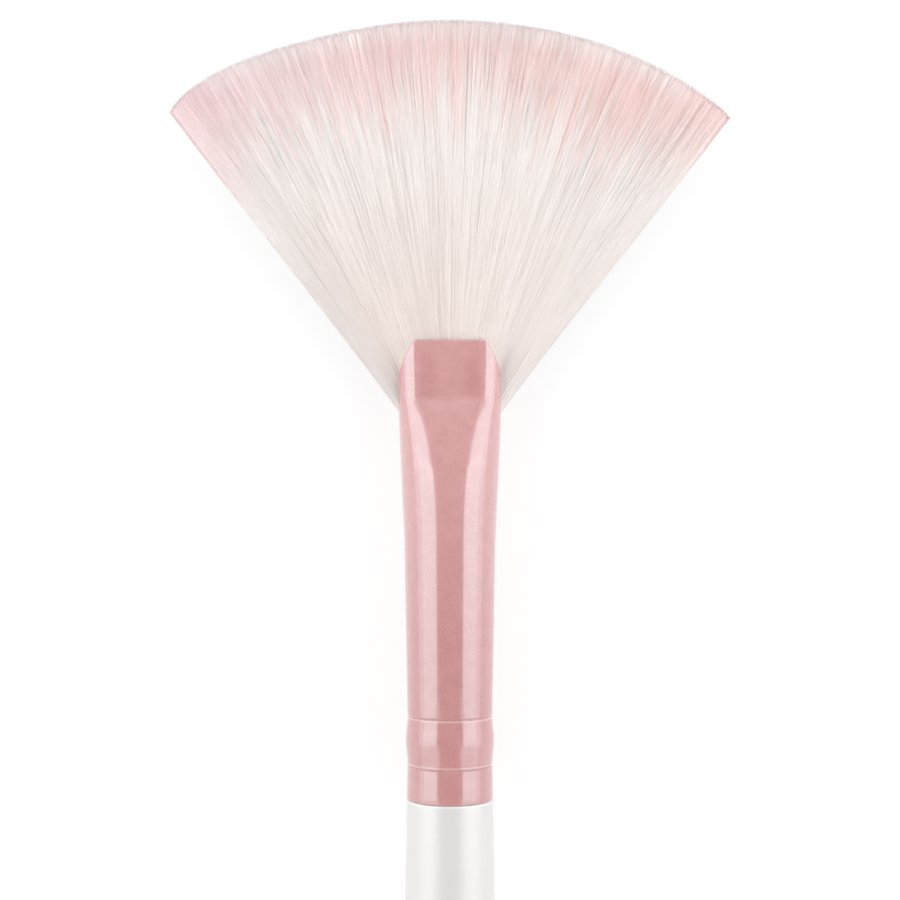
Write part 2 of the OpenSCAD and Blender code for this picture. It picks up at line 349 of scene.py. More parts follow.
paper = new_finish("floor_paper")
seeing_rays = ("Is Camera Ray", "Is Glossy Ray", "Is Transmission Ray")
seen = sum(paper.node("ShaderNodeLightPath", out=ray) for ray in seeing_rays)
black, white = (0, 0, 0, 1), (1, 1, 1, 1)
dull_paper, bright_paper, floor_glow = (0.4, 0.4, 0.4, 1), (0.408, 0.408, 0.408, 1), 0.68
floor_finish = paper.surface({
    "Base Color": paper.mixed(paper.noise(0.8, detail=3), dull_paper, bright_paper),
    "Roughness": 0.9, "Specular IOR Level": 0.1,
    "Emission Color": paper.mixed(seen, black, white), "Emission Strength": floor_glow})
reach, under = 3, 0.01 * MM
floor_z = cad_box[0].z - under
corners = [(x, y, floor_z) for x, y in ((-reach, -reach), (reach, -reach), (reach, reach), (-reach, reach))]
floor = mesh_piece("floor", corners, [(0, 1, 2, 3)], floor_finish, body=None)
floor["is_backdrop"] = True
print(f"floor at {1000 * floor_z:.3f} mm")

# %% [markdown]
# ## Handle
#
# The handle is turned from one piece of wood, with the tenon that the ferrule is glued and crimped
# on. A screw modifier on a profile would make it. Here the rings are written straight from the
# drawing's curve, so the belly, the taper and the round tail keep their sizes to a hundredth. A thin
# white line of painted highlight runs round the rounded edge that meets the ferrule.

# %% Pearl lacquer
pearl = new_finish("white_pearl_lacquer")
pearl_cloud = pearl.noise(2.5, detail=3)
pearl_flake = pearl.noise(0.11, detail=1)
pearl_tone = pearl_cloud * 0.4 + pearl_flake * 0.6
along_handle = pearl.node("ShaderNodeSeparateXYZ", {}, {0: pearl.place()}, out=1)
# A thin white line on the shoulder's rounded edge is painted highlight.
highlight_back, highlight_core, highlight_w = 0.13, 0.06 * MM, 0.16 * MM
shoulder_painted_highlight = 1 - pearl.step(abs(along_handle - laid(0, 0, lip_at - highlight_back)[1]), highlight_core, highlight_w)
pearl_white = pearl.mixed(pearl_tone, rgb(212, 211, 210), rgb(222, 221, 220))
pearl_finish = pearl.surface({
    "Base Color": pearl.mixed(shoulder_painted_highlight * 0.4, pearl_white, rgb(252, 252, 252)),
    "Roughness": 0.38 + pearl_flake * 0.12, "Metallic": 0.08, "IOR": 1.45,
    "Coat Weight": 0.7, "Coat Roughness": 0.26, "Coat IOR": 1.6,
    "Normal": pearl.bump(pearl.noise(1.1), 0.012)})
print("finish:", pearl_finish.name)

# %% Rings of a turned piece
ring_points = 128


def turned(name, outline, finish):
    """A piece turned on the brush's axis. Its outline of radius and height starts and ends on the axis."""
    angle = 2 * math.pi * np.arange(ring_points) / ring_points
    first, *rings, last = outline
    points = [laid(0, 0, first[1]).reshape(1, 3)]
    points += [laid(r * np.cos(angle), r * np.sin(angle), s) for r, s in rings]
    points.append(laid(0, 0, last[1]).reshape(1, 3))
    end = 1 + ring_points * len(rings)
    faces = []
    for k in range(ring_points):
        n = (k + 1) % ring_points
        faces.append((0, 1 + k, 1 + n))
        faces.append((end, end - ring_points + n, end - ring_points + k))
        for j in range(len(rings) - 1):
            a = 1 + j * ring_points
            faces.append((a + n, a + k, a + ring_points + k, a + ring_points + n))
    piece = mesh_piece(name, np.concatenate(points), faces, finish)
    piece.data.set_sharp_from_angle(angle=math.radians(32))
    return piece


print("points in each ring:", ring_points)

# %% Turned handle
shoulder_r, body_end = lip_r - shoulder_step, handle_len - tail_round


def handle_r(d):
    """Radius of the handle at a distance behind the ferrule."""
    if d < belly_at:
        return belly_r - (belly_r - shoulder_r) * (1 - d / belly_at) ** 3
    if d < body_end:
        return mix(belly_r, tail_r, ((d - belly_at) / (body_end - belly_at)) ** 1.6)
    return tail_r * math.sqrt(max(0, 1 - ((d - body_end) / tail_round) ** 2))


tenon_r, tenon_len = neck_r - wall - glue_gap, resin_from - air_gap
quarter = np.linspace(0, math.pi / 2, 9)
shoulder = [(shoulder_r - shoulder_round * (1 - math.sin(a)),
             lip_at - seat_gap - shoulder_round * (1 - math.cos(a))) for a in quarter]
body = [(handle_r(d), -d) for d in np.linspace(shoulder_round - lip_at, body_end, 90)[1:]]
tail = [(handle_r(d), -d) for d in body_end + tail_round * np.sin(quarter)[1:-1]]
handle = turned("handle_lacquered", [
    (0, tenon_len), (tenon_r - tenon_bevel, tenon_len), (tenon_r, tenon_len - tenon_bevel),
    (tenon_r, lip_at - seat_gap), *shoulder, *body, *tail, (0, -handle_len)], pearl_finish)
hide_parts("handle")
print("handle faces:", len(handle.data.polygons))

# %% [markdown]
# ## Ferrule
#
# The ferrule is one drawn aluminium tube: a rounded lip, a rolled bead between two scored lines that
# grip the tenon, and a mouth that is pressed flat with a slot cut in each side for the outermost hair.
# Boolean cuts would give the slots hard, ragged edges, so the sheet is laid out as two half shells
# whose rows stop where the slot begins, and a rounded edge then joins the outside to the inside.
# A row is closely followed by the next where the metal is scored, rolled or cut.

# %% Outline of the ferrule along its axis
bead_rise, metal_left = (bead_d - neck_d) / 2, 0.16


def bead(s):
    """Rise of the rolled bead at height s."""
    return bead_rise * (1 - np.cos(2 * math.pi * clamp((s - bead_at) / bead_len + 0.5))) / 2


def groove(s, start):
    """Depth of a scored line that begins at height start."""
    return score_depth * (1 - np.cos(2 * math.pi * clamp((s - start) / score_w))) / 2


def sleeve_r(s):
    """Radius of the round part's outside, from the lip to the shoulder."""
    from_round = lip_round - np.clip(s - lip_at, 0, lip_round)
    lip_edge = lip_round - np.sqrt(np.clip(lip_round ** 2 - from_round ** 2, 0, None))
    straight = np.interp(s, [lip_round, low_score, high_score, press_from], [lip_r, neck_r, neck_r, tube_r])
    return straight + bead(s) - lip_edge - groove(s, low_score) - groove(s, high_score - score_w)


def bore_r(s):
    """Radius of the round part's inside."""
    straight = np.interp(s, [0, low_score, high_score, press_from], [lip_r, neck_r, neck_r, tube_r])
    return straight + bead(s) - wall


def softened(curve, s, reach=0.5):
    """A curve of the press, averaged over a short length, because sheet metal bends in a radius."""
    offsets = np.linspace(-1, 1, 11)
    weights = 1 - 0.8 * offsets ** 2
    return sum(w * curve(s + reach * o) for o, w in zip(offsets, weights)) / weights.sum()


def side_w(s):
    return np.where(s < press_from, sleeve_r(np.clip(s, high_score, press_from)), spread(s))


def side_r(s):
    return np.where(s < press_from, side_w(s), pinch(s))


def slot_half(s, more=0):
    """Half width of the side slot at height s, opened by a little more."""
    u = clamp((s - flare_from) / scallop_len)
    floor_r, widest = slot_floor_w / 2, mouth_t / 2 - metal_left
    round_floor = np.sqrt(np.clip((floor_r + more) ** 2 - (edge_exit - s) ** 2, 0, None))
    straight = mix(floor_r, slot_w / 2, (s - edge_exit) / (flare_from - edge_exit)) + more
    flare = mix(slot_w / 2, widest, (u + np.sin(math.pi / 2 * u)) / 2) + more
    return np.where(s < edge_exit, round_floor, np.where(s < flare_from, straight, flare))


print(f"the bead stands {bead_rise:.2f} mm proud, and the slots leave {metal_left} mm at the mouth")

# %% Rows of the sheet
edge_bulge, widest_share = 0.12, 0.985
slot_floor = edge_exit - slot_floor_w / 2 - edge_bulge
joint_at, neck_rows, press_rows_from, beside_score = high_score + 6, [0.8, 1.4, 2.2, 3], 24, 0.06
rows = np.unique(np.round(np.concatenate([
    lip_at + lip_round * (1 - np.cos(np.linspace(0, math.pi / 2, 8))), neck_rows,
    np.linspace(low_score - beside_score, low_score + score_w + beside_score, 13),
    np.linspace(bead_at - bead_len / 2 + 0.1, bead_at + bead_len / 2 - 0.1, 26),
    np.linspace(high_score - score_w - beside_score, high_score + beside_score, 13),
    np.linspace(high_score + 0.5, press_rows_from, 14),
    np.linspace(press_rows_from + 0.4, slot_floor - 0.3, 36),
    slot_floor + (edge_exit - slot_floor) * (1 - np.cos(np.linspace(0, math.pi / 2, 7))),
    np.linspace(edge_exit + 0.15, ferrule_len - edge_bulge, 46)]), 4))
floor_row = int(np.argmin(np.abs(rows - slot_floor)))
outer_r = np.where(rows < joint_at, sleeve_r(rows), softened(side_r, rows))
flat_half = np.where(rows < joint_at, 0, softened(side_w, rows) - softened(side_r, rows))
inner_r = np.where(rows < joint_at, bore_r(rows), outer_r - wall)
slot_angle = np.arcsin(np.clip(slot_half(rows, edge_bulge) / outer_r, 0, widest_share))
slot_angle[:floor_row + 1] = 0
print(f"{len(rows)} rows, slot floor at row {floor_row}, mouth {2 * (flat_half + outer_r)[-1]:.2f} mm wide")

# %% Half shells of the sheet
def half_section(flat, radius, start, share):
    """Points across the upper half of the flattened tube, evenly spaced from its left slot to its right."""
    end_len = radius * (math.pi / 2 - start)
    walk = share * (2 * end_len + 2 * flat)
    left, right = walk < end_len, walk > end_len + 2 * flat
    turn = np.where(left, end_len - walk, np.where(right, walk - end_len - 2 * flat, 0)) / radius
    at_side = flat + radius * np.sin(turn)
    return np.where(left, -at_side, np.where(right, at_side, walk - end_len - flat)), radius * np.cos(turn)


columns, sheet_points = 80, []
share = np.linspace(0, 1, columns + 1)[None, :]


def add_points(points):
    """Keep points of the sheet and give each its number."""
    first = sum(len(block) for block in sheet_points)
    sheet_points.append(points.reshape(-1, 3))
    return first + np.arange(len(sheet_points[-1])).reshape(points.shape[:-1])


def quads(grid, turned_over):
    """The faces between neighbours in a grid of point numbers."""
    four = np.stack([grid[:-1, :-1], grid[:-1, 1:], grid[1:, 1:], grid[1:, :-1]], axis=-1).reshape(-1, 4)
    return four[:, ::-1] if turned_over else four


shells, numbers, faces = {}, {}, []
for half in (1, -1):
    for layer, radius in (("outside", outer_r), ("inside", inner_r)):
        x, up = half_section(flat_half[:, None], radius[:, None], slot_angle[:, None], share)
        shells[half, layer] = laid(x, half * up, rows[:, None])
        grid = numbers[half, layer] = add_points(shells[half, layer])
        if half == -1:
            # Below the slots the two halves share the points of their side columns.
            for column in (0, -1):
                grid[:floor_row + 1, column] = numbers[1, layer][:floor_row + 1, column]
        faces.append(quads(grid, (half == 1) != (layer == "outside")))
for half in (1, -1):
    lip = np.stack([numbers[half, "inside"][0], numbers[half, "outside"][0]])
    faces.append(quads(lip, half == -1))
print("points in the half shells:", sum(len(block) for block in sheet_points))

# %% Rounded edges of the mouth and the slots
def rim(grid):
    """The edge of a half shell: up its right slot, across the mouth and down its left slot."""
    return np.concatenate([grid[floor_row:, -1], grid[-1, -2:0:-1], grid[floor_row:, 0][::-1]])


edge_turns = np.linspace(0, math.pi, 7)[1:-1]
first_edge = None
for half in (1, -1):
    outside, inside = rim(shells[half, "outside"]), rim(shells[half, "inside"])
    middle, reach_out = (outside + inside) / 2, (outside - inside) / 2
    run = np.gradient(middle, axis=0)
    away = half * np.cross(run, reach_out)
    away[[0, -1]] = (0, 1, 0)
    away /= np.linalg.norm(away, axis=1)[:, None]
    rounded = [middle + reach_out * math.cos(a) + away * edge_bulge * MM * math.sin(a) for a in edge_turns]
    edge = add_points(np.stack(rounded, axis=0))
    if first_edge is None:
        first_edge = edge
    else:
        # At the slots' floors both halves share one rounded row.
        edge[:, [0, -1]] = first_edge[:, [0, -1]]
    strip = np.concatenate([rim(numbers[half, "outside"])[None], edge, rim(numbers[half, "inside"])[None]])
    faces.append(quads(strip, half == 1))
all_points, all_faces = np.concatenate(sheet_points), np.concatenate(faces)
used = np.unique(all_faces)
renumber = np.zeros(len(all_points), int)
renumber[used] = np.arange(len(used))
print("ferrule points:", len(used), "faces:", len(all_faces))

# %% [markdown]
# ## Pink pearl lacquer
#
# The metal carries a pink lacquer with fine pearl flakes under a hard clear coat. The flakes reflect
# the lights softly and with a lilac tint, which the base's own specular gives, and the coat adds the
# crisp bands. A metallic base would tint them pink instead. The flakes are tiny, about a tenth of a
# millimetre, so they show as fine mottling. The lacquer is darker towards the handle, painted shade
# darkens it beside the middle of the flat face, and pale lines of painted highlight lie on the sharp
# edges of the two scored lines.

# %% Lacquered ferrule
lacquer = new_finish("pink_pearl_lacquer")
flake = lacquer.noise(0.13, detail=2, roughness=0.6)
cloud = lacquer.noise(1.4, detail=2)
tone = lacquer.step(flake * 0.7 + cloud * 0.3, 0.3, 0.7)
across_tube, along_tube = (
    lacquer.node("ShaderNodeSeparateXYZ", {}, {0: lacquer.place()}, out=axis) for axis in (0, 1))


def past(low, high):
    """0 before height low on the axis and 1 past height high."""
    return lacquer.step(along_tube, laid(0, 0, low)[1], laid(0, 0, high)[1])


def beside_axis(low, high):
    """0 within low of the axis and 1 further out than high."""
    return lacquer.step(abs(across_tube), low * MM, high * MM)


on_flat = past(flat_from - 0.3, flat_from + 0.3) * (1 - 0.8 * past(ferrule_len - 2.8, ferrule_len - 0.8))
# Painted shade darkens the flat face beside its middle, on top of a tone that deepens towards the handle.
flat_painted_shade = on_flat * (0.25 + 0.75 * beside_axis(0.6, 2.4)) * (1 - beside_axis(2.7, 3.3))
deeper_tone_and_shade = 1 - past(10, 38) + flat_painted_shade * 0.7
light_pink = lacquer.mixed(deeper_tone_and_shade, rgb(218, 163, 163), rgb(206, 147, 146))
deep_pink = lacquer.mixed(deeper_tone_and_shade, rgb(203, 147, 147), rgb(191, 132, 132))
# Pale lines beside the two scored lines are painted highlight, for the glint on their sharp edges.
glint_back, glint_core, glint_w = 0.31, 0.054 * MM, 0.144 * MM
score_glint = sum(1 - lacquer.step(abs(along_tube - laid(0, 0, s)[1]), glint_core, glint_w)
           for s in (high_score - glint_back, low_score + glint_back))
pinks = lacquer.mixed(tone, deep_pink, light_pink)
lacquer_finish = lacquer.surface({
    "Base Color": lacquer.mixed(score_glint * 0.22, pinks, rgb(255, 236, 220)),
    "Roughness": 0.16 + flake * 0.1,
    "IOR": 1.62, "Specular Tint": (0.5, 0.95, 1, 1),
    "Coat Weight": 1.0, "Coat Roughness": 0.03, "Coat IOR": 1.62,
    "Normal": lacquer.bump(lacquer.noise(0.9), 0.004)})
ferrule = mesh_piece("ferrule_pressed", all_points[used], renumber[all_faces], lacquer_finish)
ferrule.data.set_sharp_from_angle(angle=math.radians(50))
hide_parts("ferrule")
print("ferrule:", len(ferrule.data.polygons), "faces")

# %% [markdown]
# ## Hair
#
# The tuft is several thousand tapered synthetic hairs. Their roots stand in a round bundle in the
# resin, the flat mouth spreads them, and the outermost leave through the side slots. Blender's own
# hair would render well, but it has no mesh to export, so each hair is a thin closed tube. Its path
# follows the same space as the CAD's fan, and neighbours lean together in small tufts. Hairs deep
# inside can't be told apart, so one closed mass stands for them, and only their ends are made.

# %% Space that the hair fills
root_r = bore_r(resin_from) - resin_t
mouth_half = mouth_t / 2 - wall - hair_gap
edge_half = slot_w / 2 - slot_gap
thin_from = math.atan((mouth_w - mouth_t) / 2 / fan_focus) / half_angle
thin_to = math.atan(mouth_w / 2 / (fan_focus - scallop_len)) / half_angle
bend_from, turned_at, slot_share = resin_top + 1, edge_exit - slot_w, 0.85


def mouth_profile(t):
    """Half thickness of the hair at the mouth, for a place t across the fan from -1 to 1."""
    return mix(mouth_half, edge_half, smooth((np.abs(t) - thin_from) / (thin_to - thin_from)))


edge_least, round_from = 0.3, 0.8


def edge_round(t):
    """How the fan's thickness closes at its two side edges."""
    past_round = clamp((np.abs(t) - round_from) / (1 - round_from))
    return np.maximum(edge_least, np.sqrt(1 - past_round ** 2))


tip_back, right_sweep, left_at, right_at, sweep_w, corner_power = 0.13, 0.22, -0.84, 0.65, 0.3, 24


def sweep(t, at, longer):
    """How much longer the hair is around a place across the fan."""
    return longer * np.exp(-((t - at) / sweep_w) ** 2)


def tip_length(t):
    """Distance from the apex to the tips."""
    longer = sweep(t, left_at, left_sweep) + sweep(t, right_at, right_sweep)
    round_corner = (0.35 - 0.15 * t) * np.abs(t) ** corner_power
    return fan_focus + hair_reach - tip_back + longer - round_corner


even_from, steady_taper = 0.6, 0.5


def fan_half(t, out):
    """Half thickness of the fan: at the mouth out is 0 and at the tips it is 1."""
    spread_out = mix(edge_half, mouth_half, mix(0.75, 0.55, t * t))
    even = mix(mouth_profile(t), spread_out, smooth(out / even_from))
    # It thins steadily, and faster at the tips, where hairs end one after another.
    taper = 1 - steady_taper * out - (1 - steady_taper - tip_share) * out ** 5
    return even * taper * edge_round(t)


def room(x, s):
    """Half of the space between the metal walls, or in the slots, for hair at x and height s."""
    half = side_r(s) - wall - hair_gap
    past_flat = np.clip(np.abs(x) - side_w(s) + side_r(s), 0, None)
    in_slot = slot_half(s) * slot_share - slot_gap / 2
    inside = np.maximum(np.sqrt(np.clip(half ** 2 - past_flat ** 2, 0, None)), in_slot)
    return np.where(s > ferrule_len, mouth_half, inside)


print(f"half thickness at the mouth: {mouth_half:.2f} mm in the middle, {edge_half:.2f} mm in the slots")

# %% Places and habits of the hairs
rng = np.random.default_rng(23)
hair_r, tuft_w = 0.036, 0.011
tufts = int(2 / tuft_w) + 1
tuft_blur, stray_across, stray_deep, stray_short, stray_wave = 0.5, 0.016, 0.05, 0.4, 0.02


def hair_habits(t):
    """What each hair at place t has of its own and what it shares with its tuft."""
    count = len(t)
    near = np.floor((t + 1) / tuft_w + tuft_blur * rng.standard_normal(count))
    tuft = np.clip(near.astype(int), 0, tufts - 1)
    tuft_tone, tuft_dye, tuft_lean = rng.random((3, tufts))
    return {"t": t, "tuft_t": (tuft + 0.5) * tuft_w - 1, "lean": tuft_lean[tuft],
            "tuft_tone": tuft_tone[tuft], "tuft_dye": tuft_dye[tuft],
            "tone": rng.random(count), "dye": rng.random(count)}


def strand_habits(count, low, high):
    """Hairs between two depths of the fan, from -1 at its lower face to 1 at its upper one."""
    # Hairs stand closer where the mouth is thick, and at the fan's two side edges.
    places = np.linspace(-1, 1, 801)
    at_side = smooth((np.abs(places) - 0.88) / 0.1)
    crowd = np.cumsum(0.55 + 0.45 * mouth_profile(places) / mouth_half + 0.6 * at_side)
    crowd = (crowd - crowd[0]) / (crowd[-1] - crowd[0])
    h = hair_habits(np.interp((np.arange(count) + rng.random(count)) / count, crowd, places))
    stray = stray_across * rng.standard_normal(count)
    h["t_tip"] = np.clip(h["t"] + (h["tuft_t"] - h["t"]) * 0.5 * h["lean"] + stray, -1, 1)
    h["depth"] = low + (high - low) * rng.random(count)
    h["depth_tip"] = np.clip(h["depth"] + stray_deep * rng.standard_normal(count), -1, 1)
    h["turn"] = 2 * math.pi * rng.random(count)
    h["short"] = stray_short * rng.random(count) ** 2
    h["wave"] = stray_wave * rng.standard_normal(count)
    return h


print("tufts across the fan:", tufts)

# %% Paths through the metal and the fan
root_steps = np.array([root_at, bend_from, bend_from + 3.2, bend_from + 6.4])
squeeze_power = 2.3


def root_path(t, depth, s, thick=0):
    """Points inside the ferrule, from the round bundle in the resin to the flat mouth."""
    turn = smooth((s - bend_from) / (turned_at - bend_from))
    turned_x = (turned_at - apex) * np.tan(half_angle * (1 - squeeze) * t)
    x = mix(root_r * np.sin(math.pi / 2 * t), turned_x, turn)
    half = mix(root_r * np.cos(math.pi / 2 * t), mouth_profile(t) * edge_round(t), turn)
    up = depth * (np.minimum(half, room(x, s)) - thick)
    return np.stack(np.broadcast_arrays(x, up, s + 0 * x), axis=-1)


def fan_path(t, depth, v, length, thick=0):
    """Points of the fan at v, from 0 inside the mouth to 1 at the tips, and their distance to the tips."""
    angle = half_angle * t
    start = (turned_at - apex) / np.cos(angle)
    rho = mix(start, length, v)
    bent = angle * (1 - squeeze * (1 - v) ** squeeze_power) + fan_turn
    x, s = rho * np.sin(bent), apex + rho * np.cos(bent)
    half = np.minimum(fan_half(t, clamp((rho - fan_focus) / hair_reach)), room(x, s)) - thick
    points = np.stack(np.broadcast_arrays(x, depth * np.clip(half, 0.01, None), s), axis=-1)
    return points, (1 - v) * (length - start)


print("root heights:", np.round(root_steps, 1))

# %% Meshes from arrays, with each hair's own numbers
def hair_piece(name, world, triangles, notes, finish):
    """A piece of the tuft. Notes are numbers that every point carries for the finish."""
    mesh = bpy.data.meshes.new(name)
    mesh.vertices.add(len(world))
    mesh.vertices.foreach_set("co", world.astype(np.float32).ravel())
    mesh.loops.add(3 * len(triangles))
    mesh.loops.foreach_set("vertex_index", triangles.astype(np.int32).ravel())
    mesh.polygons.add(len(triangles))
    mesh.polygons.foreach_set("loop_start", np.arange(0, 3 * len(triangles), 3, dtype=np.int32))
    mesh.update(calc_edges=True)
    for label, values in notes.items():
        layer = mesh.attributes.new(label, "FLOAT", "POINT")
        layer.data.foreach_set("value", np.ascontiguousarray(values, dtype=np.float32).ravel())
    mesh.materials.append(finish)
    piece = bpy.data.objects.new(name, mesh)
    bpy.context.scene.collection.objects.link(piece)
    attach(piece, "root")
    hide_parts("hair_fan")
    print(name, len(triangles), "triangles")


note_names = ("tone", "dye", "tuft_tone", "tuft_dye", "t")
print("numbers that each point carries:", note_names)

# %% [markdown]
# ## Strands
#
# A real hair is round and narrows to its tip. At this size more than three sides wouldn't show, so
# each strand is a three-sided tube, closed at its root and pointed at its tip. A curve for each hair
# could be turned into a mesh, but arrays make thousands of tubes in a second.

# %% Strands from their habits
step_power, lean_power, waves = 1.35, 1.2, 9
tip_r_share, taper_len, flatness = 0.55, 9, 0.55
whole_hair = 1 - (1 - np.append(np.linspace(0, 1, 10)[:-1], [0.975, 1])) ** step_power
last_stretch = np.array([0.93, 0.985, 1])


def strands(name, h, finish, v=whole_hair):
    """Closed, three-sided tubes that narrow to a point, at steps v of their way to the tips."""
    wide = {key: values[:, None] for key, values in h.items()}
    place = mix(wide["t"], wide["t_tip"], v ** lean_power)
    depth = mix(wide["depth"], wide["depth_tip"], v)
    fan, to_tip = fan_path(place, depth, v[None, :], tip_length(place) - wide["short"], hair_r)
    fan[..., 1] += wide["wave"] * np.sin(waves * v + wide["turn"]) * v
    path = fan
    if v[0] == 0:
        root = root_path(wide["t"], wide["depth"], root_steps[None, -1:], hair_r)
        path = np.concatenate([root, fan], axis=1)
        to_tip = np.concatenate([to_tip[:, :1] + 2, to_tip], axis=1)
    radius = hair_r * mix(tip_r_share, 1, clamp(to_tip / taper_len))
    hairs, steps = to_tip.shape
    angle = half_angle * h["t"]
    across = np.stack([np.cos(angle), 0 * angle, -np.sin(angle)], axis=-1)
    upward = np.array([0, flatness, 0])
    # Each tube has three corners at every step, and then its tip.
    corners = []
    for corner in range(3):
        a = h["turn"] + 2 * math.pi * corner / 3
        arm = np.cos(a)[:, None] * across + np.sin(a)[:, None] * upward
        corners.append(path[:, :-1] + radius[:, :-1, None] * arm[:, None])
    points = np.concatenate([np.stack(corners, axis=2).reshape(hairs, -1, 3), path[:, -1:]], axis=1)
    # One tube's triangles serve for all, with the numbers of its points moved on.
    one = []
    for j in range(steps - 2):
        for k in range(3):
            a, b = 3 * j + k, 3 * j + (k + 1) % 3
            one += [(a, b, b + 3), (a, b + 3, a + 3)]
    end, tip = 3 * (steps - 2), 3 * (steps - 1)
    one += [(end, end + 1, tip), (end + 1, end + 2, tip), (end + 2, end, tip), (0, 2, 1)]
    per_hair = points.shape[1]
    triangles = (np.array(one)[None] + per_hair * np.arange(hairs)[:, None, None]).reshape(-1, 3)
    notes = {label: np.repeat(wide[label], per_hair, axis=1) for label in note_names}
    notes["inner"] = 0 * notes["t"]
    notes["to_tip"] = np.concatenate([np.repeat(to_tip[:, :-1], 3, axis=1), to_tip[:, -1:]], axis=1)
    world = laid(points[..., 0], points[..., 1], points[..., 2]).reshape(-1, 3)
    hair_piece(name, world, triangles, notes, finish)


print("steps along a strand:", len(whole_hair) + 1, "and along a short end:", len(last_stretch))

# %% [markdown]
# ## The mass inside
#
# Behind the faces of the fan no hair can be told apart. Strands could fill it too, but they would
# take millions of triangles. One closed mass with fine ridges fills it instead. It ends a little
# before the tips, and short hair ends then stand in the rim between the two faces.

# %% Closed mass with fine ridges
mass_share, mass_depth, root_share, ridge_height = 0.991, 0.9, 0.92, 0.02
short_by, less_at_corners, ragged = 0.42, 0.1, 0.08


def hair_mass(name, columns, finish):
    """The middle of the tuft as one closed mass."""
    # The columns go across the upper face and come back across the lower one.
    t = mass_share * np.concatenate([np.linspace(-1, 1, columns), np.linspace(1, -1, columns)])
    face = np.repeat([1, -1], columns)
    h = hair_habits(t)
    ridge = rng.standard_normal(len(t))
    v = 1 - (1 - np.linspace(0, 1, 15)) ** step_power
    place = t[:, None] + 0 * v
    depth = face[:, None] * (mass_depth + ridge_height * ridge[:, None] * v)
    at_corner = smooth((np.abs(t) - 0.7) / 0.2)
    inset = (short_by - less_at_corners * at_corner + ragged * np.abs(ridge))[:, None]
    fan, to_tip = fan_path(place, depth, v[None, :], tip_length(place) - inset)
    root = root_path(t[:, None], root_share * face[:, None], root_steps[None, :])
    path = np.concatenate([root, fan], axis=1)
    to_tip = np.concatenate([np.repeat(to_tip[:, :1], len(root_steps), axis=1), to_tip + inset], axis=1)
    around, steps = to_tip.shape
    at = np.arange(around * steps).reshape(around, steps)
    low, high = at[:, :-1], at[:, 1:]
    next_low, next_high = np.roll(low, -1, axis=0), np.roll(high, -1, axis=0)
    sides = [np.stack([low, next_high, next_low], -1), np.stack([low, high, next_high], -1)]
    # A strip between the two faces closes the mass at its root and at its tips.
    a, b = np.arange(columns - 1), around - 1 - np.arange(columns - 1)
    caps = []
    for column, turned_round in ((0, False), (steps - 1, True)):
        p, q, r, s = at[a, column], at[a + 1, column], at[b - 1, column], at[b, column]
        for three in (np.stack([p, q, r], -1), np.stack([p, r, s], -1)):
            caps.append(three[:, ::-1] if turned_round else three)
    triangles = np.concatenate([three.reshape(-1, 3) for three in sides + caps])
    notes = {label: np.repeat(h[label][:, None], steps, axis=1) for label in note_names}
    notes["inner"], notes["to_tip"] = 1 + 0 * to_tip, to_tip
    world = laid(path[..., 0], path[..., 1], path[..., 2]).reshape(-1, 3)
    hair_piece(name, world, triangles, notes, finish)


print(f"the mass ends {short_by} mm before the tips")

# %% [markdown]
# ## Two-tone hair
#
# The hair is dipped: white at the root, with pale pink tips. The dye climbs each tuft to its own
# height, so the border is streaky, though at the fan's two corners it is nearly even. Painting one
# gradient over the whole fan would look printed, so each hair carries numbers of its own, and its
# finish reads them: how far a point is from the tip, how far the dye climbed, and how light the hair
# is. The left side is more lilac. Painted shade greys the fan's side edges, the left one most, and
# the mass more than the strands; near the mouth the roots are creamier and darker, partly their own
# colour and partly painted shade, and a painted sheen lightens them right of the middle.

# %% Numbers that the hair carries
hair = new_finish("two_tone_hair")


def noted(label):
    return hair.node("ShaderNodeAttribute", {"attribute_name": label}, out="Fac")


labels = ("to_tip", "tone", "dye", "t", "tuft_tone", "tuft_dye", "inner")
to_tip, own_tone, own_dye, place_t, tuft_tone, tuft_dye, inner = (noted(label) for label in labels)
bands = hair.node("ShaderNodeTexNoise", {"noise_dimensions": "1D"}, {
    "W": place_t, "Scale": 3.5, "Detail": 1})
edge_from, edge_to = 0.72, 0.95
left_edge, right_edge = hair.step(0 - place_t, edge_from, edge_to), hair.step(place_t, edge_from, edge_to)
edges = left_edge + right_edge
near_root = hair.step(to_tip, 12, 30)
print("numbers read:", labels)

# %% How far the dye climbs, in millimetres from the tip
mean_climb, tuft_climb, own_climb, wave_climb, right_less = 7.75, 6, 6.5, 0.9, 2.4
climb_wave = hair.node("ShaderNodeMath", {"operation": "COSINE"}, {0: (place_t + 0.27) * 7.3})
climb_habit = (tuft_climb * (tuft_dye - 0.5) + own_climb * (own_dye - 0.5)) * (1 - 0.8 * edges)
dye_climb = mean_climb + climb_habit + wave_climb * climb_wave - right_less * right_edge
border_low, border_high, border_more = -2.2, 2.6, 4
dye_share = 1 - hair.step(
    to_tip - dye_climb, border_low - border_more * edges, border_high + border_more * edges)
print(f"the dye climbs {mean_climb} mm on average")

# %% Hair finish
contrast = (0.3 + 1.2 * hair.step(place_t, -1.2, 0.8)) * (1 - 0.7 * edges)
# A painted sheen lightens the roots right of the middle.
painted_sheen = near_root * (1 - hair.step(abs(place_t - 0.3), 0, 0.45))
own_lightness = own_tone * 0.5 + tuft_tone * 0.3 + bands * 0.4 - 0.6
# Lightness carries painted shade at the side edges and the painted sheen near the roots.
lightness = 0.5 + own_lightness * contrast - edges * 0.15 + painted_sheen * 0.35
# Near the mouth the roots are creamier and darker: partly their own colour, partly painted shade beside the
# metal.
root_white = hair.mixed(lightness, rgb(236, 221, 216), rgb(251, 241, 236))
root_white = hair.mixed(hair.step(place_t, 0.4, 0.8) * 0.7, root_white, rgb(249, 242, 239))
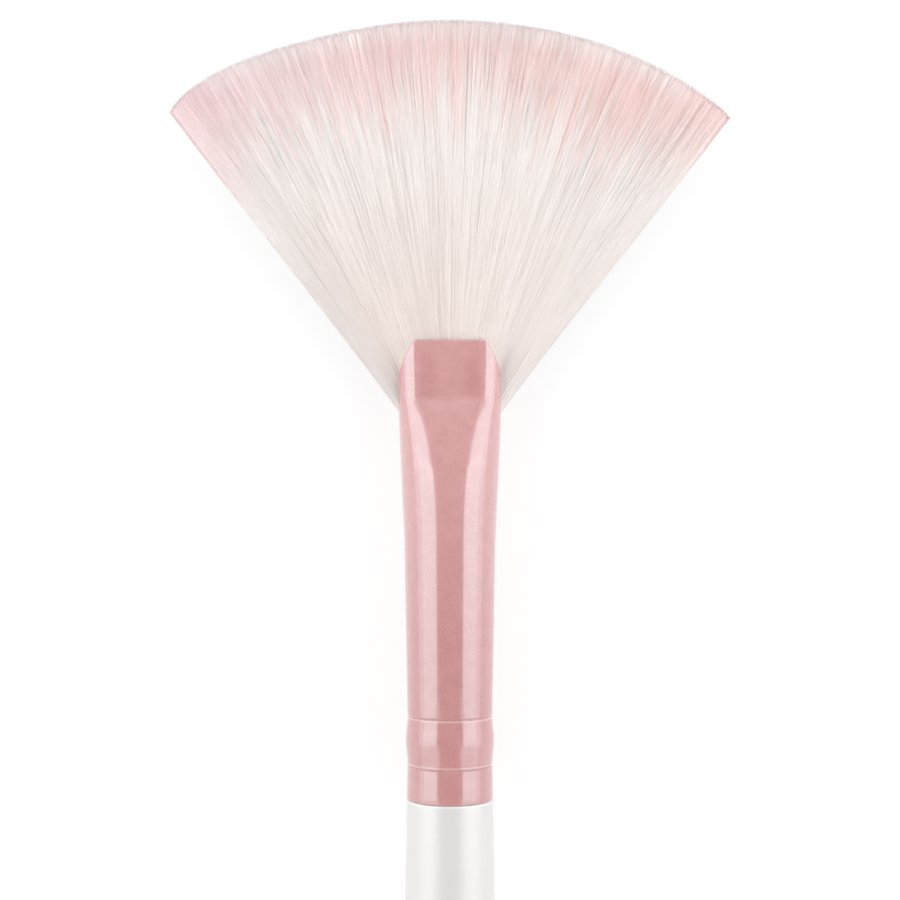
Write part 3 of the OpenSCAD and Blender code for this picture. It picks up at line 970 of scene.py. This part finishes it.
# Painted shade greys the roots at the left edge.
root_white = hair.mixed(left_edge * 0.55, root_white, rgb(236, 230, 228))
end_white = hair.mixed(lightness, rgb(246, 237, 234), rgb(255, 250, 247))
# The mass takes most of the painted shade at the side edges, the strands a little.
painted_shade_share = 0.15 + 0.85 * inner
white_hair = hair.mixed(near_root, end_white, root_white)
white_hair = hair.mixed(left_edge * painted_shade_share * 0.3, white_hair, rgb(205, 206, 208))
salmon = hair.mixed(lightness, rgb(253, 214, 209), rgb(255, 241, 238))
lilac = hair.mixed(lightness, rgb(251, 217, 220), rgb(255, 240, 242))
dyed = hair.mixed(hair.step(place_t + 0.6 * bands, -0.5, 0.3), lilac, salmon)
dyed = hair.mixed((left_edge * 0.45 + right_edge * 0.35) * painted_shade_share, dyed, rgb(214, 196, 200))
pale_tips = (1 - hair.step(to_tip, 0, 3)) * (1 - edges) * 0.6
dyed = hair.mixed(pale_tips, dyed, rgb(255, 250, 249))
hair_finish = hair.surface({
    "Base Color": hair.mixed(dye_share, white_hair, dyed),
    "Roughness": 0.45, "IOR": 1.5, "Specular IOR Level": 0.35})
print("finish:", hair_finish.name)

# %% The tuft: a mass, its strands and short ends
ends_back = 0.1
hair_mass("hair_mass", 900, hair_finish)
for word, count, low, high in (("upper_deep", 2900, 0.86, 0.96), ("upper_face", 3100, 0.95, 1),
                               ("lower_deep", 1900, -0.96, -0.86), ("lower_face", 2100, -1, -0.95)):
    strands(f"hair_{word}", strand_habits(count, low, high), hair_finish)
inner_ends = strand_habits(7000, -mass_depth, mass_depth)
inner_ends["short"] += ends_back
strands("hair_ends", inner_ends, hair_finish, last_stretch)

# %% [markdown]
# ## Resin and glue
#
# Nobody sees the resin around the roots or the film of glue on the tenon, but a cut-away would show
# them. The CAD solids have the right shape, so they stay and only get their finishes.

# %% Resin and glue finishes
resin = new_finish("root_resin")
resin_finish = resin.surface({
    "Base Color": resin.mixed(resin.noise(1.2, detail=3), rgb(206, 188, 140), rgb(226, 212, 172)),
    "Roughness": 0.2 + resin.noise(0.6) * 0.15, "Normal": resin.bump(resin.noise(0.8), 0.03)})
glue = new_finish("tenon_glue")
glue_finish = glue.surface({
    "Base Color": glue.mixed(glue.noise(0.7, detail=3), rgb(226, 216, 184), rgb(240, 232, 206)),
    "Roughness": 0.4 + glue.noise(0.4) * 0.2, "Normal": glue.bump(glue.noise(0.5), 0.02)})
for node, finish in (("root_resin", resin_finish), ("tenon_glue", glue_finish)):
    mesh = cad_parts[node].data
    mesh.materials.clear()
    mesh.materials.append(finish)
    print(node, "has", finish.name)

# %% [markdown]
# ## Last measurements
#
# The scene must not change the brush's size, so both boxes are printed.

# %% Sizes before and after
scene_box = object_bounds()
for word, low, high in zip("XYZ", *scene_box):
    print(f"{word} {1000 * low:.2f} to {1000 * high:.2f} mm")
